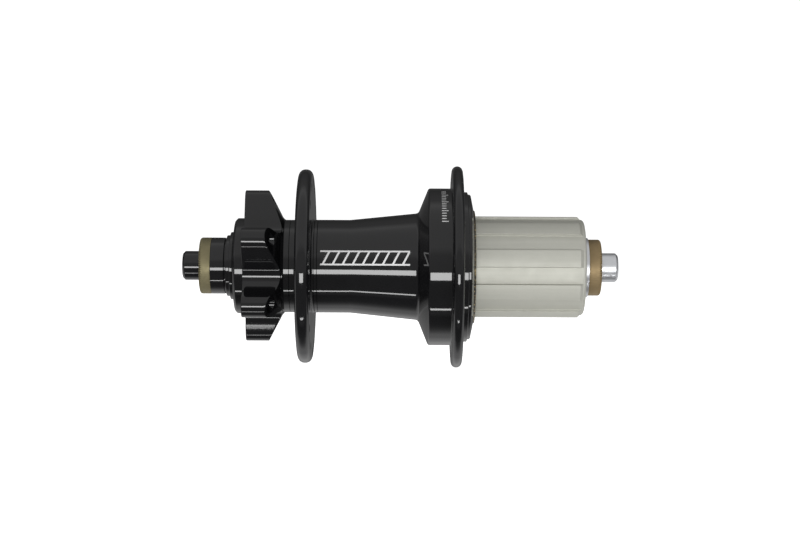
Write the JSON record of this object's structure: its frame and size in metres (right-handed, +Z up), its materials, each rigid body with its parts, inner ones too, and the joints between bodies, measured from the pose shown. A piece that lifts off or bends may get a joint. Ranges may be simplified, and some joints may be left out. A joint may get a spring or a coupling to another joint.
{
  "type": "bicycle rear hub",
  "caption": "Bicycle rear hub: flanged spoke shell with a bolt-on disc mount, splined freehub body with pawl ratchet, sealed bearings and push-in end caps.",
  "frame": {"origin": "on the hub axis, midway between the two dropout faces", "axes": "+X along the axle towards the drive (freehub) side, +Z up; the disc-brake side is -X"},
  "size_m": [0.1468, 0.068, 0.068],
  "materials": {
    "black_anodised": "polished, then anodised glossy black",
    "silver_anodised": "clear anodised, fine turned and milled surface",
    "olive_anodised": "olive-bronze anodised",
    "bronze_anodised": "brown-bronze anodised",
    "bearing_steel": "ground bearing steel",
    "tool_steel": "hardened tool steel, machined",
    "spring_steel": "blued spring steel",
    "black_rubber": "soft black nitrile rubber",
    "seal_rubber": "moulded bearing seal",
    "cage_plastic": "glass-filled nylon"
  },
  "bodies": {
    "axle": {"axle": "silver_anodised", "left_end_cap": "black_anodised", "right_end_cap": "silver_anodised", "left_serrated_ring": "olive_anodised", "right_serrated_ring": "bronze_anodised", "left_cap_o_ring": "black_rubber", "right_cap_o_ring": "black_rubber", "left_dust_ring": "black_anodised", "shell_to_freehub_spacer": "silver_anodised", "freehub_inner_spacer": "silver_anodised", "left_shell_bearing_inner_race": "bearing_steel", "right_shell_bearing_inner_race": "bearing_steel", "inner_freehub_bearing_inner_race": "bearing_steel", "outer_freehub_bearing_inner_race": "bearing_steel"},
    "hub_shell": {"hub_shell": "black_anodised", "ratchet_ring": "tool_steel", "drive_side_cover": "black_anodised", "drive_side_seal": "black_rubber", "left_shell_bearing_outer_race": "bearing_steel", "left_shell_bearing_seals": "seal_rubber", "right_shell_bearing_outer_race": "bearing_steel", "right_shell_bearing_seals": "seal_rubber"},
    "freehub": {"freehub_body": "silver_anodised", "pawl_springs": "spring_steel", "freehub_outer_spacer": "silver_anodised", "freehub_circlip": "spring_steel", "inner_freehub_bearing_outer_race": "bearing_steel", "inner_freehub_bearing_seals": "seal_rubber", "outer_freehub_bearing_outer_race": "bearing_steel", "outer_freehub_bearing_seals": "seal_rubber"},
    "pawl_1": {"pawl_1": "tool_steel"},
    "pawl_2": {"pawl_2": "tool_steel"},
    "pawl_3": {"pawl_3": "tool_steel"},
    "pawl_4": {"pawl_4": "tool_steel"},
    "pawl_5": {"pawl_5": "tool_steel"},
    "pawl_6": {"pawl_6": "tool_steel"},
    "left_shell_bearing_cage": {"left_shell_bearing_cage": "cage_plastic", "left_shell_bearing_balls": "bearing_steel"},
    "right_shell_bearing_cage": {"right_shell_bearing_cage": "cage_plastic", "right_shell_bearing_balls": "bearing_steel"},
    "inner_freehub_bearing_cage": {"inner_freehub_bearing_cage": "cage_plastic", "inner_freehub_bearing_balls": "bearing_steel"},
    "outer_freehub_bearing_cage": {"outer_freehub_bearing_cage": "cage_plastic", "outer_freehub_bearing_balls": "bearing_steel"}
  },
  "joints": [
    {"name": "wheel_spin", "type": "hinge", "parent": "axle", "child": "hub_shell", "pos_m": [0, 0, 0], "axis": [1, 0, 0], "continuous": true},
    {"name": "freehub_spin", "type": "hinge", "parent": "axle", "child": "freehub", "pos_m": [0, 0, 0], "axis": [1, 0, 0], "continuous": true},
    {"name": "pawl_1_swing", "type": "hinge", "parent": "freehub", "child": "pawl_1", "pos_m": [0.0151, -0.01694, 0.00299], "axis": [1, 0, 0], "range_deg": [0, 9.5], "stiffness_Nm_per_rad": 0.006, "springref_deg": 28.65},
    {"name": "pawl_2_swing", "type": "hinge", "parent": "freehub", "child": "pawl_2", "pos_m": [0.0151, -0.00588, 0.01616], "axis": [1, 0, 0], "range_deg": [0, 9.5], "stiffness_Nm_per_rad": 0.006, "springref_deg": 28.65},
    {"name": "pawl_3_swing", "type": "hinge", "parent": "freehub", "child": "pawl_3", "pos_m": [0.0151, 0.01106, 0.01318], "axis": [1, 0, 0], "range_deg": [0, 9.5], "stiffness_Nm_per_rad": 0.006, "springref_deg": 28.65},
    {"name": "pawl_4_swing", "type": "hinge", "parent": "freehub", "child": "pawl_4", "pos_m": [0.0151, 0.01694, -0.00299], "axis": [1, 0, 0], "range_deg": [0, 9.5], "stiffness_Nm_per_rad": 0.006, "springref_deg": 28.65},
    {"name": "pawl_5_swing", "type": "hinge", "parent": "freehub", "child": "pawl_5", "pos_m": [0.0151, 0.00588, -0.01616], "axis": [1, 0, 0], "range_deg": [0, 9.5], "stiffness_Nm_per_rad": 0.006, "springref_deg": 28.65},
    {"name": "pawl_6_swing", "type": "hinge", "parent": "freehub", "child": "pawl_6", "pos_m": [0.0151, -0.01106, -0.01318], "axis": [1, 0, 0], "range_deg": [0, 9.5], "stiffness_Nm_per_rad": 0.006, "springref_deg": 28.65},
    {"name": "left_shell_bearing_roll", "type": "hinge", "parent": "axle", "child": "left_shell_bearing_cage", "pos_m": [-0.0515, 0, 0], "axis": [1, 0, 0], "continuous": true},
    {"name": "right_shell_bearing_roll", "type": "hinge", "parent": "axle", "child": "right_shell_bearing_cage", "pos_m": [0.0065, 0, 0], "axis": [1, 0, 0], "continuous": true},
    {"name": "inner_freehub_bearing_roll", "type": "hinge", "parent": "axle", "child": "inner_freehub_bearing_cage", "pos_m": [0.0305, 0, 0], "axis": [1, 0, 0], "continuous": true},
    {"name": "outer_freehub_bearing_roll", "type": "hinge", "parent": "axle", "child": "outer_freehub_bearing_cage", "pos_m": [0.0495, 0, 0], "axis": [1, 0, 0], "continuous": true}
  ],
  "couplings": [
    {"joint": "left_shell_bearing_roll", "follows": "wheel_spin", "ratio": 0.5814},
    {"joint": "right_shell_bearing_roll", "follows": "wheel_spin", "ratio": 0.57447},
    {"joint": "inner_freehub_bearing_roll", "follows": "freehub_spin", "ratio": 0.5814},
    {"joint": "outer_freehub_bearing_roll", "follows": "freehub_spin", "ratio": 0.5814}
  ]
}
